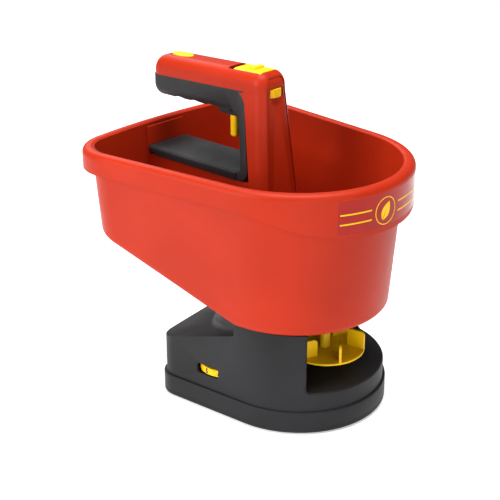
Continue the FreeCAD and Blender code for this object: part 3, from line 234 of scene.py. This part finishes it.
def moulded(name, tones, rough, grain, depth, worn=0.0, shine=0.25, coat=0.0):
    """Moulded plastic: slow colour drift, fine spark-eroded grain and faint handling marks."""
    n = Nodes(name)
    colour = n.ramp(n.noise(14.0, 2.0), tones)
    if worn:
        pale = tuple(min(1.0, c * 1.35 + 0.012) for c in tones[0][:3]) + (1,)
        scuffs = n.span(n.noise(90.0, 6.0, 0.7), 0.0, worn, 0.62, 0.80)
        colour = n.blend(scuffs, colour, pale)
    drift = n.span(n.noise(26.0, 5.0, 0.65), rough[0], rough[1])
    slow = n.bump(n.noise(38.0, 1.0), 0.10, 0.0012)
    normal = n.bump(n.noise(grain, 2.0, 0.6), depth, 0.00012, slow)
    return n.finish(colour, drift, normal, Coat_Weight=coat, Coat_Roughness=0.2,
                    Specular_IOR_Level=shine)


def soft_touch(name):
    """Black overmould: matt, with a fine pebble grain."""
    n = Nodes(name)
    colour = n.ramp(n.noise(20.0, 3.0), (BLACK, BLACK_PALE))
    dust = n.span(n.noise(160.0, 6.0, 0.75), 0.0, 0.25, 0.60, 0.85)
    colour = n.blend(dust, colour, DUST)
    normal = n.bump(n.cells(1500.0), 0.35, 0.00010)
    roughness = n.span(n.noise(30.0, 4.0), 0.50, 0.66)
    return n.finish(colour, roughness, normal, Specular_IOR_Level=0.3, Sheen_Weight=0.03,
                    Sheen_Roughness=0.5)


def metal(name, tones, rough, stretch=(1, 1, 40)):
    """Plated or drawn metal with fine drawing lines."""
    n = Nodes(name)
    lines = n.noise(120.0, 4.0, 0.6, stretch)
    colour = n.ramp(lines, tones)
    normal = n.bump(lines, 0.12, 0.00004)
    return n.finish(colour, n.span(lines, rough[0], rough[1]), normal, Metallic=1.0)


def film(name):
    """Glossy printed film: deep red under a clear face with a slight ripple."""
    n = Nodes(name)
    colour = n.ramp(n.noise(22.0, 2.0), (LABEL_RED, LABEL_PALE))
    normal = n.bump(n.noise(60.0, 1.0), 0.08, 0.0006)
    roughness = n.span(n.noise(40.0, 4.0), 0.16, 0.26)
    return n.finish(colour, roughness, normal, Coat_Weight=0.12, Coat_Roughness=0.10,
                    Specular_IOR_Level=0.15)


def floor_material():
    n = Nodes("studio_paper")
    colour = n.ramp(n.noise(3.0, 2.0), (PAPER, PAPER_PALE))
    return n.finish(colour, n.span(n.noise(8.0), 0.85, 0.95), n.bump(n.noise(400.0), 0.03, 0.0003),
                    Emission_Color=(1.0, 1.0, 1.0, 1), Emission_Strength=FLOOR_GLOW)


# moulded: tones, roughness range, grain scale and depth, then any scuffs, shine and coat
MATERIALS = {
    "red_plastic": moulded("red_plastic", (RED, RED_DEEP), (0.36, 0.46), 1300.0, 0.20, 0.12, 0.12),
    "label_film": film("label_film"),
    "black_grip": soft_touch("black_grip"),
    "charcoal_plastic": moulded("charcoal_plastic", (CHARCOAL, CHARCOAL_PALE), (0.42, 0.52), 1100.0, 0.35,
                                0.25, 0.16),
    "yellow_plastic": moulded("yellow_plastic", (YELLOW, YELLOW_DEEP), (0.38, 0.48), 1300.0, 0.15,
                              0.06, 0.16),
    "feet_rubber": soft_touch("feet_rubber"),
    "zinc_steel": metal("zinc_steel", ZINC, (0.22, 0.38)),
    "bearing_bronze": metal("bearing_bronze", BRONZE, (0.35, 0.5)),
    "natural_nylon": moulded("natural_nylon", NYLON, (0.4, 0.5), 900.0, 0.15),
    "black_nylon": moulded("black_nylon", (BLACK, CHARCOAL), (0.42, 0.55), 900.0, 0.25),
    "motor_can": metal("motor_can", STEEL, (0.28, 0.42)),
    "circuit_board": moulded("circuit_board", MASK_GREEN, (0.3, 0.42), 700.0, 0.1),
    "cell_wrap": moulded("cell_wrap", WRAP_BLUE, (0.25, 0.35), 500.0, 0.05, coat=0.3),
    "wire_insulation": moulded("wire_insulation", WIRE_RED, (0.35, 0.45), 900.0, 0.1),
}


def dress_nodes():
    """Every CAD node takes the material of its slot in the record."""
    for name, slot in SLOTS.items():
        NODES[name].data.materials.clear()
        NODES[name].data.materials.append(MATERIALS[slot])


# ---------------------------------------------------------------- added pieces
# front band: axis of its round face, radius, and the height of the emblem's centre
BAND_AXIS = (38.35 * MM, 0.0)
BAND_R = cad_high.x - BAND_AXIS[0]
EMBLEM_ANGLE = math.radians(-4.5)
EMBLEM_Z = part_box("front_label")[0].z + 13.2 * MM
EMBLEM_R = 12.2 * MM
RING_WIDE = 0.8 * MM
LEAF_LONG, LEAF_WIDE, LEAF_VEIN = 17.0 * MM, 5.6 * MM, 0.4 * MM
LEAF_TILT = math.radians(-28)
LEAF_FULL, LEAF_TAPER = 0.8, 0.35       # how full the leaf's curve is, and its narrowing to the tip
LEAF_STEPS = 20
STRIPES_ALONG = ((-46.0 * MM, -16.0 * MM), (16.0 * MM, 52.0 * MM))
STRIPES_UP = (-5.0 * MM, 3.4 * MM)
STRIPE_WIDE = 1.2 * MM
STRIPE_STEPS = 24
PRINT_THICK = 0.12 * MM


def new_piece(name, bm, material, body):
    """A mesh piece that rides on a body and takes the material it is given."""
    mesh = bpy.data.meshes.new(name)
    bm.to_mesh(mesh)
    bm.free()
    piece = bpy.data.objects.new(name, mesh)
    bpy.context.scene.collection.objects.link(piece)
    mesh.materials.append(material)
    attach(piece, body)
    return piece


def on_band(along, up, proud=0.0):
    """Point on the round front: along is arc length from the emblem's centre, up is height above it."""
    angle = EMBLEM_ANGLE + along / BAND_R
    radius = BAND_R + proud
    x = BAND_AXIS[0] + radius * math.cos(angle)
    return Vector((x, BAND_AXIS[1] + radius * math.sin(angle), EMBLEM_Z + up))


def strip(bm, first, second, closed=False):
    """Raised print between two rows of (along, up) points."""
    rows = []
    for row in (first, second):
        for proud in (0.0, PRINT_THICK):
            rows.append([bm.verts.new(on_band(a, u, proud)) for a, u in row])
    low_in, low_out, high_in, high_out = rows
    count = len(first)
    for k in range(count if closed else count - 1):
        m = (k + 1) % count
        bm.faces.new((low_out[k], low_out[m], high_out[m], high_out[k]))
        bm.faces.new((low_in[k], low_in[m], low_out[m], low_out[k]))
        bm.faces.new((high_out[k], high_out[m], high_in[m], high_in[k]))
    bmesh.ops.recalc_face_normals(bm, faces=bm.faces)


def circle_row(radius, count=72):
    steps = [2 * math.pi * k / count for k in range(count)]
    return [(radius * math.cos(a), radius * math.sin(a)) for a in steps]


def leaf_rows(length, width, tilt, gap, count=LEAF_STEPS):
    """Two halves of a pointed leaf either side of its vein."""
    c, s = math.cos(tilt), math.sin(tilt)
    halves = []
    for side in (-1, 1):
        rows = ([], [])
        for k in range(count + 1):
            t = k / count
            u = (t - 0.5) * length
            swell = math.sin(math.pi * t) ** LEAF_FULL * (1.0 - LEAF_TAPER * t) * width
            for row, off in zip(rows, (gap * (1 - t), max(swell, gap * (1 - t)))):
                a, b = side * off, u
                row.append((a * c - b * s, a * s + b * c))
        halves.append(rows)
    return halves


def make_emblem():
    """Plain ring with a leaf, and a thin stripe on each side."""
    bm = bmesh.new()
    strip(bm, circle_row(EMBLEM_R), circle_row(EMBLEM_R - RING_WIDE), closed=True)
    for rows in leaf_rows(LEAF_LONG, LEAF_WIDE, LEAF_TILT, LEAF_VEIN):
        strip(bm, *rows)
    for start, end in STRIPES_ALONG:
        for up in STRIPES_UP:
            steps = [start + (end - start) * k / STRIPE_STEPS for k in range(STRIPE_STEPS + 1)]
            strip(bm, [(a, up) for a in steps], [(a, up + STRIPE_WIDE) for a in steps])
    new_piece("band_emblem", bm, MATERIALS["yellow_plastic"], ROOT)


DIAL_LOW, DIAL_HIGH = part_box("rate_dial")
DIAL_R = (DIAL_HIGH.x - DIAL_LOW.x) / 2
DIAL_AXIS = ((DIAL_LOW.x + DIAL_HIGH.x) / 2, (DIAL_LOW.y + DIAL_HIGH.y) / 2)
DIGITS = "654321"
DIGIT_SIZE = 6.44 * MM
DIGIT_BOLD = 0.24 * MM
DIGIT_PROUD = 0.12 * MM
DIGIT_STEP = math.radians(30)
DIGIT_FIRST = math.radians(26)
DIAL_BAND_Z = DIAL_LOW.z + 0.9 * MM


def make_dial_digits():
    """Generic numbers round the dial's rim, one for each detent."""
    bm = bmesh.new()
    for k, digit in enumerate(DIGITS):
        curve = bpy.data.curves.new("digit", "FONT")
        curve.body = digit
        curve.size = DIGIT_SIZE
        curve.align_x = "CENTER"
        curve.offset = DIGIT_BOLD
        text = bpy.data.objects.new("digit", curve)
        flat = bpy.data.meshes.new_from_object(text)
        turn = DIGIT_FIRST - k * DIGIT_STEP
        start = len(bm.verts)
        bm.from_mesh(flat)
        bm.verts.ensure_lookup_table()
        for v in bm.verts[start:]:
            angle = turn + v.co.x / DIAL_R
            radius = DIAL_R + DIGIT_PROUD
            v.co = (DIAL_AXIS[0] + radius * math.sin(angle), DIAL_AXIS[1] - radius * math.cos(angle),
                    DIAL_BAND_Z + v.co.y)
        bpy.data.objects.remove(text)
    new_piece("dial_digits", bm, MATERIALS["black_nylon"], DIAL_BODY)


def soften(node, width):
    """A copy of a CAD node with its sharp edges rounded a little, shown in its place."""
    source = NODES[node]
    bm = bmesh.new()
    bm.from_mesh(source.data)
    bmesh.ops.remove_doubles(bm, verts=bm.verts, dist=WELD)
    sharp = [e for e in bm.edges if len(e.link_faces) == 2 and e.calc_face_angle() > SHARP_ANGLE
             and e.calc_length() > width]
    bmesh.ops.bevel(bm, geom=sharp, offset=width, segments=2, profile=0.6, affect="EDGES",
                    clamp_overlap=True)
    slot = SLOTS[node]
    piece = new_piece(node + "_soft", bm, MATERIALS[slot], body_of(source)[0])
    piece.data.shade_smooth()
    piece.data.set_sharp_from_angle(angle=SHARP_ANGLE)
    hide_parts(node)


def make_rod_spring():
    """A copy of the spring's own coil, shown in its place."""
    source = NODES["rod_spring"]
    bm = bmesh.new()
    bm.from_mesh(source.data)
    slot = SLOTS["rod_spring"]
    spring = new_piece("rod_spring_coil", bm, MATERIALS[slot], body_of(source)[0])
    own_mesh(spring)
    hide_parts("rod_spring")


# ---------------------------------------------------------------- studio
def make_floor():
    mesh = bpy.data.meshes.new("floor")
    bm = bmesh.new()
    bmesh.ops.create_grid(bm, x_segments=4, y_segments=4, size=FLOOR_HALF)
    bm.to_mesh(mesh)
    bm.free()
    floor = bpy.data.objects.new("floor", mesh)
    bpy.context.scene.collection.objects.link(floor)
    floor.data.materials.append(floor_material())


def aim(obj, place, target):
    obj.location = place
    obj.rotation_mode = "QUATERNION"
    obj.rotation_quaternion = (Vector(target) - Vector(place)).to_track_quat("-Z", "Y")


def make_lights():
    for name, (place, size, power, target) in LIGHTS.items():
        data = bpy.data.lights.new(name, "AREA")
        data.size = size
        data.energy = power
        lamp = bpy.data.objects.new(name, data)
        bpy.context.scene.collection.objects.link(lamp)
        aim(lamp, place, target)
    world = bpy.data.worlds.new("studio")
    world.use_nodes = True
    background = world.node_tree.nodes["Background"]
    background.inputs["Color"].default_value = (1.0, 1.0, 1.0, 1)
    background.inputs["Strength"].default_value = WORLD_STRENGTH
    bpy.context.scene.world = world


def make_camera():
    data = bpy.data.cameras.new("camera")
    data.lens = LENS
    camera = bpy.data.objects.new("camera", data)
    bpy.context.scene.collection.objects.link(camera)
    aim(camera, CAMERA_AT, CAMERA_TO)
    bpy.context.scene.camera = camera


# the photograph's white ground and full reds need the plain transform
bpy.context.scene.view_settings.view_transform = "Standard"
make_camera()
make_floor()
make_lights()
dress_nodes()
for edge_node, edge_width in SOFT_EDGES.items():
    soften(edge_node, edge_width)
make_rod_spring()
make_emblem()
make_dial_digits()
